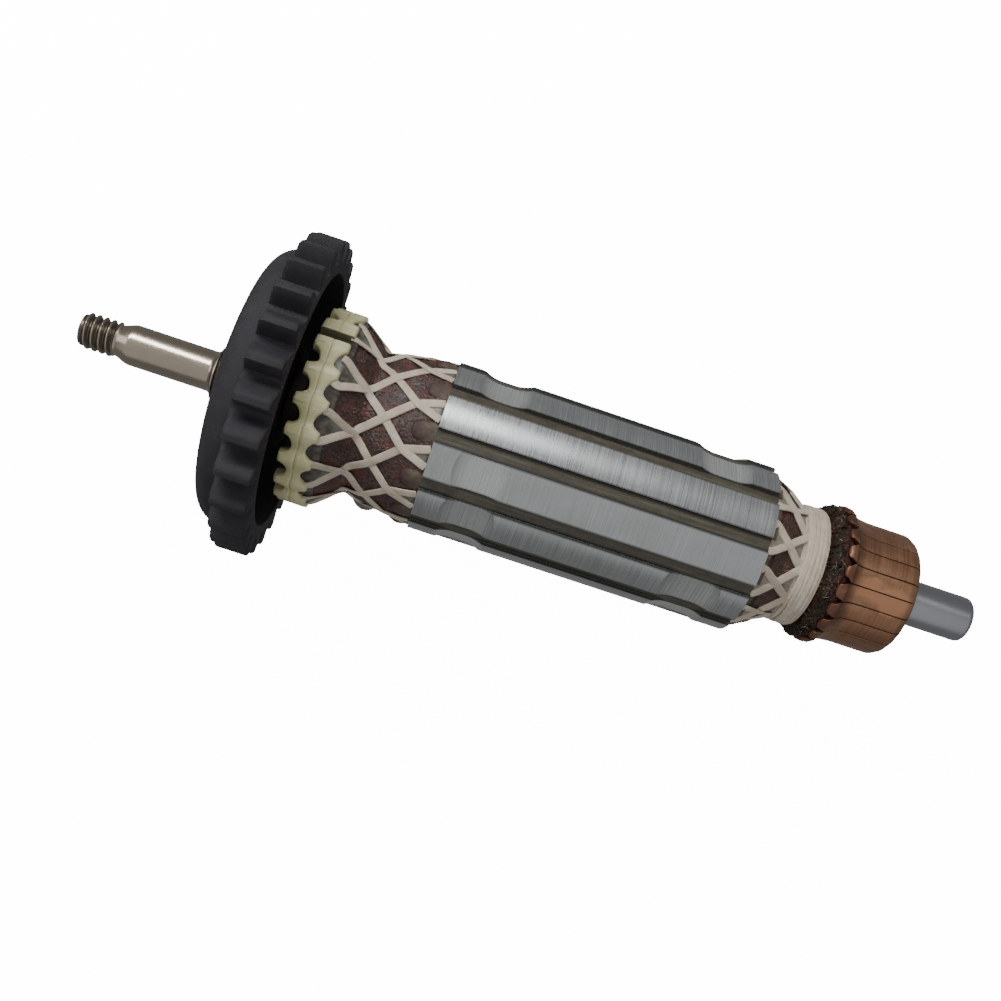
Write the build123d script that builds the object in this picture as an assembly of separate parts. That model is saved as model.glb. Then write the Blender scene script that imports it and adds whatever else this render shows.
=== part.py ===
"""Motor armature of a small power tool, in millimetres.

The shaft axis is the X axis. The origin is on the axis at the shoulder that the
front bearing stands against, the threaded end points to -X and the commutator
end to +X. Angles turn about +X and start at +Z.
"""
from build123d import *
import math
import os

# Shaft, each length measured along the axis from the front bearing shoulder
thread_diameter = 6.3
thread_length = 6.3
thread_end_chamfer = 0.7
neck_diameter = 5.3
neck_length = 0.9
front_cone_length = 2.6
front_seat_diameter = 7.0
front_seat_length = 13.8
shaft_diameter = 9.4
collar_length = 2.6
shoulder_chamfer = 0.3
rear_seat_diameter = 8.0
rear_seat_length = 13.0
rear_end_chamfer = 0.6

# Cooling fan
fan_plate_setback = 0.9
fan_plate_thickness = 2.4
fan_plate_radius = 23.9
fan_shoulder_radius = 4.2
fan_depth = 11.2
fan_rim_wall = 1.9
fan_hub_diameter = 17.0
fan_hub_length = 10.4
fan_tooth_count = 28
fan_tooth_length = 6.3
fan_tooth_height = 3.9
fan_tooth_tip_width = 2.4
fan_tooth_bulge = 0.35

# Lacing ring, the cream moulding that the front cord hooks over
ring_gap_from_fan = 0.9
ring_width = 5.6
ring_diameter = 34.0
ring_wall = 2.6
ring_lobe_count = 20
ring_notch_width = 3.0
ring_notch_depth = 1.5
ring_cord_notch_width = 1.7
ring_cord_notch_depth = 1.2
ring_key_width = 1.8
ring_key_depth = 1.3
ring_key_angle = -44.5
ring_web_thickness = 1.8
ring_hub_diameter = 15.0

# Laminated core
core_diameter = 29.5
core_length = 56.4
slot_count = 11
first_tooth_angle = 9.7
slot_mouth_width = 2.35
tooth_lip = 1.25
slot_shoulder_rise = 0.35
slot_top_width = 4.1
slot_bottom_width = 1.7
slot_bottom_place = 8.0
dip_depth = 0.95
dip_cutter_radius = 7.0
dip_width = 7.4
front_dip_start = 3.4
front_dip_length = 10.6
front_dip_teeth = (-3, -2, 0, 1, 2, 5)
rear_dip_start = 41.4
rear_dip_length = 11.4
rear_dip_teeth = (-3, -2, 1, 2, 4)

# Insulation
sleeve_wall = 1.0
end_plate_thickness = 0.8
end_plate_margin = 1.0
liner_thickness = 0.25
liner_overhang = 0.8
wedge_thickness = 0.45
wedge_neck_height = 0.6
film_thickness = 0.25
film_band_length = 1.6
film_tab_length = 4.4

# Front lacing net: each row of crossings by its distance from the ring
lacing_thickness = 0.5
strand_width = 1.2
front_lacing_rows = (4.2, 8.3, 12.4)
front_ring_spread = 8.2
front_core_spread = 6.0
front_top_inset = 0.3
front_waist = (5.2, 24.6)
front_swell = (7.6, 26.5)
front_foot_inset = 0.4

# Rear lacing net and the band of cord turns
rear_cone_length = 6.2
rear_foot_inset = 0.85
rear_window_phase = 3.0
rear_window_length = 5.1
rear_window_width = 4.0
rear_window_shoulder = 2.8
rear_window_foot = 1.8
band_turns = 4
band_turn_pitch = 1.0
band_diameter = 20.0
band_bump = 0.35
band_turn_flat = 0.6

# Commutator
commutator_gap = 4.9
bar_count = 22
bar_diameter = 21.8
bar_length = 11.9
bar_height = 2.6
bar_slit = 0.35
bar_end_radius = 1.8
tang_length = 3.1
tang_diameter = 24.8
tang_thickness = 0.9
tang_width_share = 0.58
tang_bend_length = 1.0
tang_overlap = 0.3
tang_round = 0.3
bush_wall = 1.0
commutator_flange_length = 1.1

# Winding
winding_front_setback = 1.2
winding_end_radius = 1.5
coil_root = 0.3

# Clearances
running_gap = 0.05
stack_gap = 0.1

# Places along the axis that follow from the sizes above
collar_end = collar_length
fan_plate_start = collar_end + fan_plate_setback
fan_rim_end = fan_plate_start + fan_depth
fan_hub_end = collar_end + fan_hub_length
ring_start = fan_rim_end + ring_gap_from_fan
ring_end = ring_start + ring_width
front_lacing_start = ring_end + stack_gap
front_lacing_end = front_lacing_start + front_lacing_rows[-1] + 3.6
front_plate_start = front_lacing_end + stack_gap
core_start = front_plate_start + end_plate_thickness + running_gap
core_end = core_start + core_length
rear_plate_end = core_end + running_gap + end_plate_thickness
rear_lacing_start = rear_plate_end + stack_gap
band_start = rear_lacing_start + rear_cone_length
band_end = band_start + band_turns * band_turn_pitch
leads_start = band_end + stack_gap
bar_start = band_end + commutator_gap
tang_end = bar_start + tang_overlap
tang_start = tang_end - tang_length
bar_end = bar_start + bar_length
commutator_body_start = bar_start - commutator_flange_length
commutator_end = bar_end + 0.3
rear_seat_start = commutator_end + 0.1

core_radius = core_diameter / 2
shaft_radius = shaft_diameter / 2
sleeve_radius = shaft_radius + running_gap + sleeve_wall
tooth_pitch = 360.0 / slot_count
slot_neck_radius = core_radius - tooth_lip
pocket_top_radius = slot_neck_radius - slot_shoulder_rise
pocket_floor_radius = pocket_top_radius - wedge_thickness - running_gap

# Outer outline of the front lacing as (place, radius) from the ring to the core
front_outline = [
    (front_lacing_start, ring_diameter / 2 - front_top_inset),
    (front_lacing_start + front_waist[0], front_waist[1] / 2),
    (front_lacing_start + front_swell[0], front_swell[1] / 2),
    (front_lacing_end, core_radius - front_foot_inset),
]
rear_outline = [
    (rear_lacing_start, core_radius - rear_foot_inset),
    (band_start, band_diameter / 2),
]


def turned(corners):
    """Solid of revolution about the shaft axis from (place, radius) corners."""
    outline = Polyline(*[(x, 0, r) for x, r in corners], close=True)
    return revolve(make_face(outline), axis=Axis.X)


def around(shape, angle):
    """The shape turned about the shaft axis."""
    return Rot(X=angle) * shape


def spread(shape, count, start=0.0):
    """Copies of the shape at even angles round the shaft axis."""
    return [around(shape, start + 360.0 * k / count) for k in range(count)]


def prism(section, start, length):
    """Cross section in the plane square to the shaft, drawn out along it."""
    return extrude(Plane.YZ.offset(start) * section, amount=length, dir=(1, 0, 0))


def tube(start, end, inner, outer):
    """Plain tube on the shaft axis."""
    return turned([(start, inner), (end, inner), (end, outer), (start, outer)])


def radius_on(outline, place):
    """Radius of an outline at a place along the axis, by straight lines between its corners."""
    for (x0, r0), (x1, r1) in zip(outline, outline[1:]):
        if place <= x1:
            break
    return r0 + (r1 - r0) * (place - x0) / (x1 - x0)


def sunk(outline, depth):
    """The outline moved towards the axis."""
    return [(x, r - depth) for x, r in outline]


def shell(outer, depth):
    """Thin turned skin under an outline."""
    return turned(outer + sunk(outer, depth)[::-1])


def make_shaft():
    thread_start = -front_seat_length - front_cone_length - neck_length - thread_length
    neck_start = thread_start + thread_length
    cone_start = neck_start + neck_length
    rear_end = rear_seat_start + rear_seat_length
    return turned([
        (thread_start, 0),
        (thread_start, thread_diameter / 2 - thread_end_chamfer),
        (thread_start + thread_end_chamfer, thread_diameter / 2),
        (neck_start, thread_diameter / 2),
        (neck_start, neck_diameter / 2),
        (cone_start, neck_diameter / 2),
        (-front_seat_length, front_seat_diameter / 2),
        (0, front_seat_diameter / 2),
        (0, shaft_radius - shoulder_chamfer),
        (shoulder_chamfer, shaft_radius),
        (rear_seat_start, shaft_radius),
        (rear_seat_start, rear_seat_diameter / 2),
        (rear_end - rear_end_chamfer, rear_seat_diameter / 2),
        (rear_end, rear_seat_diameter / 2 - rear_end_chamfer),
        (rear_end, 0),
    ])


def fan_tooth():
    """One lobe of the fan rim, with bulging flanks that meet the next in a sharp notch."""
    root = fan_plate_radius
    tip = root + fan_tooth_height
    half = 180.0 / fan_tooth_count
    foot = (root * math.sin(math.radians(half)), root * math.cos(math.radians(half)))
    crown = (fan_tooth_tip_width / 2, tip)
    middle = (
        (foot[0] + crown[0]) / 2 + fan_tooth_bulge,
        (foot[1] + crown[1]) / 2 + fan_tooth_bulge,
    )
    sunk_foot = root - fan_rim_wall / 2
    outline = [
        ThreePointArc(foot, middle, crown),
        Line(crown, (-crown[0], tip)),
        ThreePointArc((-crown[0], tip), (-middle[0], middle[1]), (-foot[0], foot[1])),
        Line((-foot[0], foot[1]), (0, sunk_foot)),
        Line((0, sunk_foot), foot),
    ]
    return prism(make_face(outline), fan_rim_end - fan_tooth_length, fan_tooth_length)


def make_cooling_fan():
    bore = shaft_radius + running_gap
    hub = fan_hub_diameter / 2
    cavity = fan_plate_radius - fan_rim_wall
    inner_face = fan_plate_start + fan_plate_thickness
    body = turned([
        (collar_end, bore),
        (fan_hub_end, bore),
        (fan_hub_end, hub),
        (inner_face, hub),
        (inner_face, cavity - fan_shoulder_radius + fan_plate_thickness),
        (inner_face + fan_shoulder_radius - fan_plate_thickness, cavity),
        (fan_rim_end, cavity),
        (fan_rim_end, fan_plate_radius),
        (fan_plate_start, fan_plate_radius),
        (fan_plate_start, hub),
        (collar_end, hub),
    ])
    rim_edge = body.edges().filter_by(GeomType.CIRCLE).filter_by(
        lambda edge: abs(edge.radius - fan_plate_radius) < 1e-3
        and abs(edge.center().X - fan_plate_start) < 1e-3
    )
    body = fillet(rim_edge, fan_shoulder_radius)
    return body + spread(fan_tooth(), fan_tooth_count)


def ring_notch(width, depth, edge, side):
    """Half-round cutter at one edge of the lacing ring, standing across its wall."""
    reach = ring_diameter
    outline = make_face([
        Line((edge - side, -width / 2), (edge, -width / 2)),
        ThreePointArc((edge, -width / 2), (edge + side * depth, 0), (edge, width / 2)),
        Line((edge, width / 2), (edge - side, width / 2)),
        Line((edge - side, width / 2), (edge - side, -width / 2)),
    ])
    floor = ring_diameter / 2 - ring_wall - 1
    return extrude(Pos(0, 0, floor) * outline, amount=reach, dir=(0, 0, 1))


def make_lacing_ring():
    outer = ring_diameter / 2
    inner = outer - ring_wall
    middle = (ring_start + ring_end) / 2
    web_start = middle - ring_web_thickness / 2
    bore = sleeve_radius + running_gap
    body = turned([
        (ring_start, bore),
        (ring_end, bore),
        (ring_end, ring_hub_diameter / 2),
        (web_start + ring_web_thickness, ring_hub_diameter / 2),
        (web_start + ring_web_thickness, inner),
        (ring_end, inner),
        (ring_end, outer),
        (ring_start, outer),
        (ring_start, inner),
        (web_start, inner),
        (web_start, ring_hub_diameter / 2),
        (ring_start, ring_hub_diameter / 2),
    ])
    step = 360.0 / ring_lobe_count
    scallop = ring_notch(ring_notch_width, ring_notch_depth, ring_start, 1)
    cord_notch = ring_notch(ring_cord_notch_width, ring_cord_notch_depth, ring_end, -1)
    cutters = spread(scallop, ring_lobe_count, ring_key_angle)[1:]
    for way in (-1, 1):
        cutters += spread(cord_notch, slot_count, first_tooth_angle + way * front_ring_spread)
    key = Pos(middle, 0, outer) * Box(ring_width + 1, ring_key_width, 2 * ring_key_depth)
    cutters.append(around(key, ring_key_angle))
    return body - cutters


def window(corners, outline, inset):
    """Cutter for one opening of a net. Corners are (place, angle) from the middle angle."""
    flat = [(x, radius_on(outline, x) * math.sin(math.radians(a))) for x, a in corners]
    face = make_face(Polyline(*flat, close=True))
    face = offset(face, amount=-inset)
    return extrude(Pos(0, 0, shaft_radius) * face, amount=core_radius + 2, dir=(0, 0, 1))


def front_rows():
    return [front_lacing_start + row for row in front_lacing_rows]


def ring_triangle():
    first = front_rows()[0]
    start = front_lacing_start
    return [(start, -front_ring_spread), (start, front_ring_spread), (first, 0)]


def make_front_lacing():
    half = tooth_pitch / 2
    inset = strand_width / 2
    start = front_lacing_start
    first, second, third = front_rows()
    last = front_lacing_end
    by_ring = [
        (start, -half + front_ring_spread),
        (start, half - front_ring_spread),
        (first, half),
        (second, 0),
        (first, -half),
    ]
    diamond = [(first, 0), (second, half), (third, 0), (second, -half)]
    by_core = [
        (second, 0),
        (third, half),
        (last, half - front_core_spread),
        (last, -half + front_core_spread),
        (third, -half),
    ]
    cutters = []
    for corners, angle in ((ring_triangle(), 0), (by_ring, half), (diamond, 0), (by_core, half)):
        cutter = window(corners, front_outline, inset)
        cutters += spread(cutter, slot_count, first_tooth_angle + angle)
    return shell(front_outline, lacing_thickness) - cutters


def make_film_collar():
    """Insulating film under the lacing, with a pointed tab below each first crossing."""
    depth = lacing_thickness + running_gap
    tip = front_lacing_start + film_tab_length
    top = sunk([front_outline[0], (tip, radius_on(front_outline, tip))], depth)
    body = shell(top, film_thickness)
    half = tooth_pitch / 2
    band = front_lacing_start + film_band_length
    gap = [(band, -half * 0.7), (tip + 1, -half), (tip + 1, half), (band, half * 0.7)]
    cutter = window(gap, front_outline, 0.01)
    return body - spread(cutter, slot_count, first_tooth_angle + half)


def slot_pocket():
    """Outline of one slot below the wedge, at the top of the core."""
    top = slot_top_width / 2
    bottom = slot_bottom_width / 2
    return Polygon(
        (-bottom, slot_bottom_place),
        (bottom, slot_bottom_place),
        (top, pocket_floor_radius),
        (-top, pocket_floor_radius),
        align=None,
    )


def slot_section():
    """Outline of a whole slot: the pocket, the wedge seat above it and the mouth."""
    top = slot_top_width / 2
    bottom = slot_bottom_width / 2
    mouth = slot_mouth_width / 2
    return Polygon(
        (bottom, slot_bottom_place),
        (top, pocket_floor_radius),
        (top, pocket_top_radius),
        (mouth, slot_neck_radius),
        (mouth, core_radius + 1),
        (-mouth, core_radius + 1),
        (-mouth, slot_neck_radius),
        (-top, pocket_top_radius),
        (-top, pocket_floor_radius),
        (-bottom, slot_bottom_place),
        align=None,
    )


def slot_angles():
    return [first_tooth_angle + tooth_pitch * (k + 0.5) for k in range(slot_count)]


def slotted_disc(radius, start, length):
    """Toothed disc with every slot cut through it."""
    disc = tube(start, start + length, sleeve_radius + running_gap, radius)
    slot = prism(slot_section(), start - 1, length + 2)
    return disc - [around(slot, angle) for angle in slot_angles()]


def balance_dip(start, length):
    """Milling cutter's path along the top of one tooth, with round run-outs."""
    low = core_radius - dip_depth
    run = math.sqrt(dip_cutter_radius**2 - (dip_cutter_radius - dip_depth - 0.5) ** 2)
    rise = dip_depth + 0.5
    bend = dip_cutter_radius * (1 - math.cos(math.asin(run / 2 / dip_cutter_radius)))
    x0, x1 = core_start + start, core_start + start + length
    outline = make_face([
        ThreePointArc((x0, low + rise), (x0 + run / 2, low + bend), (x0 + run, low)),
        Line((x0 + run, low), (x1 - run, low)),
        ThreePointArc((x1 - run, low), (x1 - run / 2, low + bend), (x1, low + rise)),
        Line((x1, low + rise), (x0, low + rise)),
    ])
    side = Plane.XZ.offset(-dip_width / 2) * outline
    return extrude(side, amount=dip_width, dir=(0, -1, 0))


def make_core_stack():
    core = slotted_disc(core_radius, core_start, core_length)
    dips = []
    for start, length, teeth in (
        (front_dip_start, front_dip_length, front_dip_teeth),
        (rear_dip_start, rear_dip_length, rear_dip_teeth),
    ):
        cutter = balance_dip(start, length)
        dips += [around(cutter, first_tooth_angle + tooth_pitch * k) for k in teeth]
    return core - dips


def make_slot_liner():
    """Folded insulating film round one coil side, a little longer than the core."""
    outside = offset(slot_pocket(), amount=-running_gap)
    inside = offset(slot_pocket(), amount=-running_gap - liner_thickness)
    start = front_plate_start - liner_overhang
    return prism(outside - inside, start, rear_plate_end + liner_overhang - start)


def make_slot_wedge():
    """Strip that closes one slot under the tooth lips."""
    foot = slot_top_width / 2 - running_gap
    neck = slot_mouth_width / 2 - running_gap
    low = pocket_floor_radius + running_gap
    shoulder = low + wedge_thickness
    slope = (slot_neck_radius - pocket_top_radius) / (slot_top_width - slot_mouth_width) * 2
    neck_root = shoulder + (foot - neck) * slope - running_gap
    section = Polygon(
        (-foot, low),
        (foot, low),
        (foot, shoulder - running_gap),
        (neck, neck_root),
        (neck, neck_root + wedge_neck_height),
        (-neck, neck_root + wedge_neck_height),
        (-neck, neck_root),
        (-foot, shoulder - running_gap),
        align=None,
    )
    return prism(section, core_start, core_length)


def make_winding():
    """Varnished coils: a head at each end of the core and one coil side in every slot."""
    inner = sleeve_radius + running_gap
    under_net = lacing_thickness + film_thickness + 3 * running_gap
    head_start = front_lacing_start + winding_front_setback
    top = sunk(front_outline, under_net)
    first_radius = radius_on(top, head_start + winding_end_radius)
    liner_start = front_plate_start - liner_overhang - running_gap
    front = turned([
        (head_start, inner),
        (liner_start, inner),
        (liner_start, radius_on(top, liner_start)),
        top[2],
        top[1],
        (head_start + winding_end_radius, first_radius),
        (head_start, first_radius - winding_end_radius),
    ])
    liner_end = rear_plate_end + liner_overhang + running_gap
    back = sunk(rear_outline, lacing_thickness + running_gap)
    rear = turned([
        (liner_end, inner),
        (band_end, inner),
        (band_end, back[-1][1]),
        back[-1],
        (liner_end, radius_on(back, liner_end)),
    ])
    side = offset(
        slot_pocket(), amount=-2 * running_gap - liner_thickness
    )
    bar = prism(side, liner_start - coil_root, liner_end - liner_start + 2 * coil_root)
    return front + rear + [around(bar, angle) for angle in slot_angles()]


def make_rear_lacing():
    """Conical net and the band of cord turns that it runs into."""
    body = shell(rear_outline, lacing_thickness)
    radius = band_diameter / 2
    slope = (1 - band_turn_flat) / 2 * band_turn_pitch
    turns = [(band_start, radius)]
    for k in range(band_turns):
        x = band_start + k * band_turn_pitch
        turns.append((x + slope, radius + band_bump))
        turns.append((x + band_turn_pitch - slope, radius + band_bump))
        turns.append((x + band_turn_pitch, radius))
    floor = radius - lacing_thickness
    body += turned(turns + [(band_end, floor), (band_start, floor)])
    foot = band_start - rear_window_length - 0.3
    flat = Polygon(
        (foot, -rear_window_foot / 2),
        (foot + rear_window_shoulder, -rear_window_width / 2),
        (foot + rear_window_length, 0),
        (foot + rear_window_shoulder, rear_window_width / 2),
        (foot, rear_window_foot / 2),
        align=None,
    )
    cutter = extrude(Pos(0, 0, shaft_radius) * flat, amount=core_radius, dir=(0, 0, 1))
    return body - spread(cutter, slot_count, rear_window_phase)


def tang_underside():
    """Inner outline of a tang, from its free end to its root in the bar."""
    top = tang_diameter / 2
    return [
        (tang_start, top - tang_thickness),
        (tang_start + tang_bend_length, top - tang_thickness),
        (tang_end, bar_diameter / 2 - tang_thickness),
    ]


def make_commutator_leads():
    """Varnished bundle of wire ends between the band and the bars."""
    floor = sleeve_radius + running_gap
    under_tang = sunk(tang_underside(), running_gap)
    leads_end = commutator_body_start - stack_gap
    band_top = band_diameter / 2
    return turned([
        (leads_start, floor),
        (leads_end, floor),
        (leads_end, radius_on(under_tang, leads_end)),
        under_tang[1],
        under_tang[0],
        (tang_start - running_gap, tang_diameter / 2 - tang_round),
        (tang_start - tang_bend_length, tang_diameter / 2 - tang_round),
        (leads_start, band_top),
    ])


def make_commutator_bush():
    return tube(commutator_body_start, commutator_end, shaft_radius + running_gap,
                shaft_radius + running_gap + bush_wall)


def make_commutator_body():
    """Moulding that holds the bars on the bush, with a flange under the tangs."""
    inner = shaft_radius + bush_wall + 2 * running_gap
    under_bar = bar_diameter / 2 - bar_height - running_gap
    flange = radius_on(tang_underside(), bar_start) - running_gap
    return turned([
        (commutator_body_start, inner),
        (commutator_end, inner),
        (commutator_end, under_bar),
        (bar_start - running_gap, under_bar),
        (bar_start - running_gap, flange),
        (commutator_body_start, flange),
    ])


def make_commutator_bar():
    """One copper segment with its tang, bent out over the wire ends."""
    pitch = 360.0 / bar_count
    radius = bar_diameter / 2
    low = radius - bar_height
    slit = math.degrees(bar_slit / radius)
    corner = bar_end_radius * (1 - math.sqrt(0.5))
    outline = make_face([
        Line((bar_start, 0, low), (bar_end, 0, low)),
        Line((bar_end, 0, low), (bar_end, 0, radius - bar_end_radius)),
        ThreePointArc(
            (bar_end, 0, radius - bar_end_radius),
            (bar_end - corner, 0, radius - corner),
            (bar_end - bar_end_radius, 0, radius),
        ),
        Line((bar_end - bar_end_radius, 0, radius), (bar_start, 0, radius)),
        Line((bar_start, 0, radius), (bar_start, 0, low)),
    ])
    segment = revolve(outline, axis=Axis.X, revolution_arc=pitch - slit)
    segment = around(segment, -(pitch - slit) / 2)
    under = tang_underside()
    over = sunk(under, -tang_thickness)[::-1]
    over[-1] = (tang_start, over[-1][1] - tang_round)
    tang_outline = make_face(Polyline(*[(x, 0, r) for x, r in under + over], close=True))
    width = pitch * tang_width_share
    tang = revolve(tang_outline, axis=Axis.X, revolution_arc=width)
    return segment + around(tang, -width / 2)


def write(shape, name):
    export_step(shape, "parts/" + name + ".step")


def main():
    os.makedirs("parts", exist_ok=True)
    write(make_shaft(), "shaft")
    sleeve_start = fan_hub_end + stack_gap
    sleeve_end = commutator_body_start - stack_gap
    write(tube(sleeve_start, sleeve_end, shaft_radius + running_gap, sleeve_radius), "shaft_sleeve")
    write(make_cooling_fan(), "cooling_fan")
    write(make_lacing_ring(), "lacing_ring")
    write(make_film_collar(), "film_collar")
    write(make_core_stack(), "core_stack")
    plate_radius = core_radius - end_plate_margin
    write(slotted_disc(plate_radius, front_plate_start, end_plate_thickness), "front_end_plate")
    write(slotted_disc(plate_radius, core_end + running_gap, end_plate_thickness), "rear_end_plate")
    write(make_winding(), "winding")
    write(make_front_lacing(), "front_lacing")
    write(make_rear_lacing(), "rear_lacing")
    write(make_commutator_leads(), "commutator_leads")
    write(make_commutator_bush(), "commutator_bush")
    write(make_commutator_body(), "commutator_body")
    liner, wedge, bar = make_slot_liner(), make_slot_wedge(), make_commutator_bar()
    for k, angle in enumerate(slot_angles(), 1):
        write(around(liner, angle), f"slot_liner_{k:02d}")
        write(around(wedge, angle), f"slot_wedge_{k:02d}")
    for k in range(bar_count):
        write(around(bar, 360.0 * (k + 0.5) / bar_count), f"commutator_bar_{k + 1:02d}")


main()
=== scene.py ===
import math
import bmesh
import bpy
import numpy as np
from bpy.props import FloatProperty, FloatVectorProperty, IntProperty, PointerProperty
from mathutils import Matrix, Vector


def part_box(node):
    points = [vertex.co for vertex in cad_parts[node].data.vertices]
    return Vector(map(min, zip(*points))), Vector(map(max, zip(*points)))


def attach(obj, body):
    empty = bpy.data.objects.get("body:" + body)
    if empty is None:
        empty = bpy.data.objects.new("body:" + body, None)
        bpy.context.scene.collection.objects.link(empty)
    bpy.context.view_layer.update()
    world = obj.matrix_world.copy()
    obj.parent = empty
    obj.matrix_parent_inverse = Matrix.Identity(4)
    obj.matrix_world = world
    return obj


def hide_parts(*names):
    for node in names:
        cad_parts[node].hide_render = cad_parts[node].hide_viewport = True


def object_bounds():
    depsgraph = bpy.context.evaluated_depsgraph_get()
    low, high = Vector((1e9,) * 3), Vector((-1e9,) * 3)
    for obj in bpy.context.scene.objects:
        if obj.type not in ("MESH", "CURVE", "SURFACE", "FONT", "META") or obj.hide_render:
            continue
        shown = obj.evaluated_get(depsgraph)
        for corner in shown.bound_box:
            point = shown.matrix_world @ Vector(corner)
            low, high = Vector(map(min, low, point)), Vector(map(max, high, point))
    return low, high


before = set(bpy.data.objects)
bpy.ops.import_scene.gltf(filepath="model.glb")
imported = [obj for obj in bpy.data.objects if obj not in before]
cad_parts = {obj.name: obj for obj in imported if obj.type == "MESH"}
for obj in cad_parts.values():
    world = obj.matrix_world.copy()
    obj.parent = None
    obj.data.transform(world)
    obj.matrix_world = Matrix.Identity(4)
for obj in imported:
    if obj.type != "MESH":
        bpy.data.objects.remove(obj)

bl_info = {
    "name": "Motor armature",
    "version": (1, 0, 0),
    "blender": (4, 5, 0),
    "location": "3D View > Sidebar > Armature",
    "description": "Dresses the packed rotor: shaft, fan, lacing, winding, core and commutator",
    "category": "Object",
}

MM = 0.001
CAD_BOX = [list(corner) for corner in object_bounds()]


def span(node):
    """First and last place of a CAD node along the shaft, in millimetres."""
    low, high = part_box(node)
    return low.x / MM, high.x / MM


def reach(node):
    """Largest radius of a CAD node about the shaft, in millimetres."""
    low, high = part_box(node)
    return max(-low.y, high.y, -low.z, high.z) / MM


# Places along the shaft taken from the frame
SHAFT_START, SHAFT_END = span("shaft")
FAN_START, FAN_END = span("cooling_fan")
RING_START, RING_END = span("lacing_ring")
NET_START, NET_END = span("front_lacing")
CORE_START, CORE_END = span("core_stack")
BAND_END = span("rear_lacing")[1]
LEADS_START = span("commutator_leads")[0]
BARS_START, BARS_END = span("commutator_bar_01")
BODY_START, BODY_END = span("commutator_body")

SLOTS = 11
SLOT_PITCH = 2 * math.pi / SLOTS
FIRST_TOOTH = math.radians(9.7)
BARS = 22


def colour_property(label, text, value):
    return FloatVectorProperty(
        name=label, description=text, subtype="COLOR", size=3, min=0, max=1, default=value
    )


def millimetres(label, text, value, low, high):
    return FloatProperty(name=label, description=text, default=value, min=low, max=high)


def number(label, text, value, low, high):
    return IntProperty(name=label, description=text, default=value, min=low, max=high)


class ArmatureSizes(bpy.types.PropertyGroup):
    """Sizes in millimetres, and counts, that the dressed pieces are worked out from."""

    thread_pitch: millimetres("Thread pitch", "Distance from crest to crest", 1.27, 0.5, 3)
    thread_depth: millimetres("Thread depth", "Depth of the thread under its crests", 0.55, 0.1, 1)
    fan_lobes: number("Fan lobes", "Number of lobes round the fan rim", 28, 8, 60)
    lobe_height: millimetres("Lobe height", "Height of a lobe over the rim", 3.6, 0.5, 8)
    ring_lobes: number("Ring lobes", "Number of lobes round the lacing ring", 20, 6, 40)
    cord_width: millimetres("Cord width", "Width of the flat lacing cord", 1.32, 0.3, 3)
    cord_thickness: millimetres("Cord thickness", "Thickness of the flat lacing cord", 0.32, 0.1, 1)
    wire_diameter: millimetres("Wire diameter", "Diameter of the enamelled wire", 0.42, 0.1, 1)


class ArmatureColours(bpy.types.PropertyGroup):
    """Base colours of the finishes."""

    steel: colour_property("Shaft steel", "Ground and polished steel", (0.34, 0.29, 0.235))
    core: colour_property("Core steel", "Ground laminated steel", (0.33, 0.34, 0.345))
    fan: colour_property("Fan", "Black moulding", (0.0165, 0.0152, 0.0185))
    ring: colour_property("Ring", "Cream moulding", (0.52, 0.49, 0.30))
    film: colour_property("Film", "Grey insulating film", (0.108, 0.108, 0.083))
    slot_film: colour_property("Slot film", "Olive film in the slots", (0.042, 0.035, 0.022))
    cord: colour_property("Cord", "Cream lacing cord", (0.53, 0.46, 0.37))
    wire: colour_property("Wire", "Enamelled copper under varnish", (0.044, 0.020, 0.014))
    copper: colour_property("Commutator", "Copper bars", (0.240, 0.124, 0.070))
    moulding: colour_property("Moulding", "Phenolic body of the commutator", (0.05, 0.025, 0.016))


def sizes():
    return bpy.context.scene.armature_sizes


def colour_of(name):
    return tuple(getattr(bpy.context.scene.armature_colours, name))


# Surfaces


def about_shaft(place, radius, turn):
    """Point at a place along X, a radius and a turn about +X from +Z: (x, -r sin, r cos)."""
    return together(place, -radius * np.sin(turn), radius * np.cos(turn))


def outward(turn):
    """Direction away from the shaft at a turn."""
    return about_shaft(0.0, 1.0, turn)


def together(*values):
    """Arrays of any shapes that fit, as the last axis of one array."""
    return np.stack(np.broadcast_arrays(*values), axis=-1)


def full_turn(columns):
    """Turns of the columns of a closed grid, the first and the last one at the same turn."""
    return np.linspace(0, 2 * math.pi, columns + 1)


def sheet(place, radius, turn):
    """Grid of points about the shaft, mapped by place and turn, for mesh_from_grids."""
    return about_shaft(place, radius, turn), together(place, turn), 0.5


def part_way(start, end, share):
    """Value at a share of the way from start to end."""
    return start + (end - start) * share


def grid_faces(rows, columns, first):
    """Quads between neighbouring rows and columns of a grid whose points start at first."""
    corner = first + np.arange(rows - 1)[:, None] * columns + np.arange(columns - 1)
    return together(corner, corner + 1, corner + columns + 1, corner + columns).reshape(-1, 4)


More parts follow.
